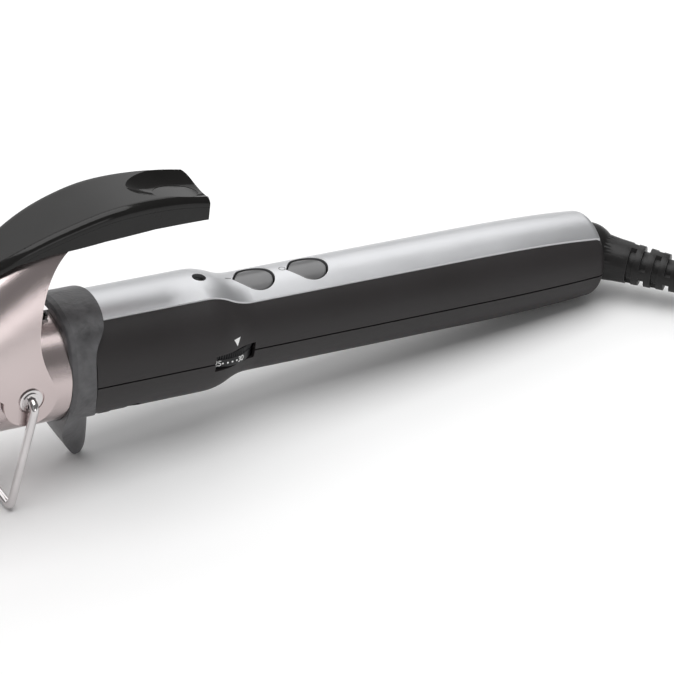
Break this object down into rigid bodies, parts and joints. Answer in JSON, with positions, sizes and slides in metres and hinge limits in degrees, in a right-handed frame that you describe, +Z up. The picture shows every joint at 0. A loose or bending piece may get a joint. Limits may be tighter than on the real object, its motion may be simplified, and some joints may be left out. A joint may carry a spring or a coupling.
{
  "type": "curling iron",
  "caption": "Curling iron with a sprung clamp on a heated barrel, a thumb lever, a wire stand, push buttons, a temperature dial and a swivel cord.",
  "frame": {"origin": "on the table, under the middle of the iron's own box, without its boot, cord and plug", "axes": "+X from the barrel's tip towards the cord, +Y across the iron away from the side with the dial, +Z up; the iron rests tipped on its wire stand and the rear end of its handle"},
  "size_m": [0.6269, 0.0732, 0.0816],
  "materials": {
    "barrel_tube": "satin rose-mauve ceramic coating",
    "cool_tip": "heat-resistant nylon, soft matte",
    "tip_bulkhead": "glass-filled heat-proof plastic",
    "tip_screw": "plain spring steel",
    "heater_block_upper": "die-cast",
    "heater_block_lower": "die-cast",
    "ceramic_heater": "alumina plate",
    "thermistor": "moulded electronic part",
    "thermal_fuse": "plain spring steel",
    "barrel_mount": "glass-filled heat-proof plastic",
    "clamp_plate": "satin rose-mauve ceramic coating",
    "thumb_rest_cover": "gloss black",
    "thumb_rest_base": "gloss black",
    "thumb_rest_screws": "plain spring steel",
    "pivot_rivets": "polished",
    "clamp_spring": "plain spring steel",
    "spring_bracket": "polished",
    "spring_rivet": "plain spring steel",
    "stand_wire": "polished",
    "collar": "dark grey heat-resistant moulding",
    "handle_upper_case": "soft-touch warm charcoal",
    "handle_lower_case": "soft-touch warm charcoal",
    "handle_top_strip": "satin silver",
    "case_screws": "plain spring steel",
    "led_lens": "smoked lens",
    "led": "red diode",
    "on_button": "satin grey",
    "off_button": "satin grey",
    "tact_switches": "moulded electronic part",
    "switch_board": "green laminate",
    "board_pillars": "bearing nylon",
    "temperature_dial": "black with pale printed scale",
    "dial_spindle": "bearing nylon",
    "potentiometer": "moulded electronic part",
    "circuit_board": "green laminate",
    "board_screws": "plain spring steel",
    "capacitor": "film capacitor case",
    "triac": "moulded electronic part",
    "heat_sink": "die-cast",
    "terminal_block": "green laminate",
    "heater_wires": "woven glass sleeve",
    "supply_wires": "woven glass sleeve",
    "swivel_socket": "bearing nylon",
    "swivel_core": "bearing nylon",
    "contact_rings": "contact brass",
    "brushes": "contact brass",
    "cord_boot": "black rubber, slightly glossy",
    "cord_tube": "black rubber, slightly glossy",
    "cord_hank": "black rubber, slightly glossy",
    "hank_tie": "black rubber, slightly glossy",
    "plug_body": "black rubber, slightly glossy",
    "plug_blades": "contact brass"
  },
  "bodies": {
    "handle": {"barrel_tube": "barrel_tube", "cool_tip": "cool_tip", "tip_bulkhead": "tip_bulkhead", "tip_screw": "tip_screw", "heater_block_upper": "heater_block_upper", "heater_block_lower": "heater_block_lower", "ceramic_heater": "ceramic_heater", "thermistor": "thermistor", "thermal_fuse": "thermal_fuse", "barrel_mount": "barrel_mount", "pivot_rivets": "pivot_rivets", "clamp_spring": "clamp_spring", "spring_bracket": "spring_bracket", "spring_rivet": "spring_rivet", "collar": "collar", "handle_upper_case": "handle_upper_case", "handle_lower_case": "handle_lower_case", "handle_top_strip": "handle_top_strip", "case_screws": "case_screws", "led_lens": "led_lens", "led": "led", "tact_switches": "tact_switches", "switch_board": "switch_board", "board_pillars": "board_pillars", "potentiometer": "potentiometer", "circuit_board": "circuit_board", "board_screws": "board_screws", "capacitor": "capacitor", "triac": "triac", "heat_sink": "heat_sink", "terminal_block": "terminal_block", "heater_wires": "heater_wires", "supply_wires": "supply_wires", "swivel_socket": "swivel_socket", "brushes": "brushes", "cord_tube": "cord_tube", "cord_hank": "cord_hank", "hank_tie": "hank_tie", "plug_body": "plug_body", "plug_blades": "plug_blades"},
    "clamp": {"clamp_plate": "clamp_plate", "thumb_rest_cover": "thumb_rest_cover", "thumb_rest_base": "thumb_rest_base", "thumb_rest_screws": "thumb_rest_screws"},
    "stand": {"stand_wire": "stand_wire"},
    "on_button": {"on_button": "on_button"},
    "off_button": {"off_button": "off_button"},
    "dial": {"temperature_dial": "temperature_dial", "dial_spindle": "dial_spindle"},
    "swivel": {"swivel_core": "swivel_core", "contact_rings": "contact_rings", "cord_boot": "cord_boot"}
  },
  "joints": [
    {"name": "clamp_pivot", "type": "hinge", "parent": "handle", "child": "clamp", "pos_m": [-0.01329, 0, 0.03567], "axis": [0, 1, 0], "range_deg": [0, 20], "stiffness_Nm_per_rad": 0.35, "springref_deg": -20.05, "deforming": ["clamp_spring"]},
    {"name": "stand_swing", "type": "hinge", "parent": "handle", "child": "stand", "pos_m": [-0.01329, 0, 0.03567], "axis": [0, 1, 0], "range_deg": [-33, 50]},
    {"name": "on_press", "type": "slide", "parent": "handle", "child": "on_button", "axis": [-0.1237, 0, -0.9923], "range_m": [0, 0.0008], "stiffness_N_per_m": 1500, "springref_m": -0.0006},
    {"name": "off_press", "type": "slide", "parent": "handle", "child": "off_button", "axis": [-0.1237, 0, -0.9923], "range_m": [0, 0.0008], "stiffness_N_per_m": 1500, "springref_m": -0.0006},
    {"name": "dial_turn", "type": "hinge", "parent": "handle", "child": "dial", "pos_m": [0.04682, -0.003, 0.02717], "axis": [0.1237, 0, 0.9923], "range_deg": [-9, 188]},
    {"name": "cord_swivel", "type": "hinge", "parent": "handle", "child": "swivel", "pos_m": [0.17422, 0, 0.01199], "axis": [-0.9923, 0, 0.1237], "continuous": true, "deforming": ["cord_tube"]}
  ]
}
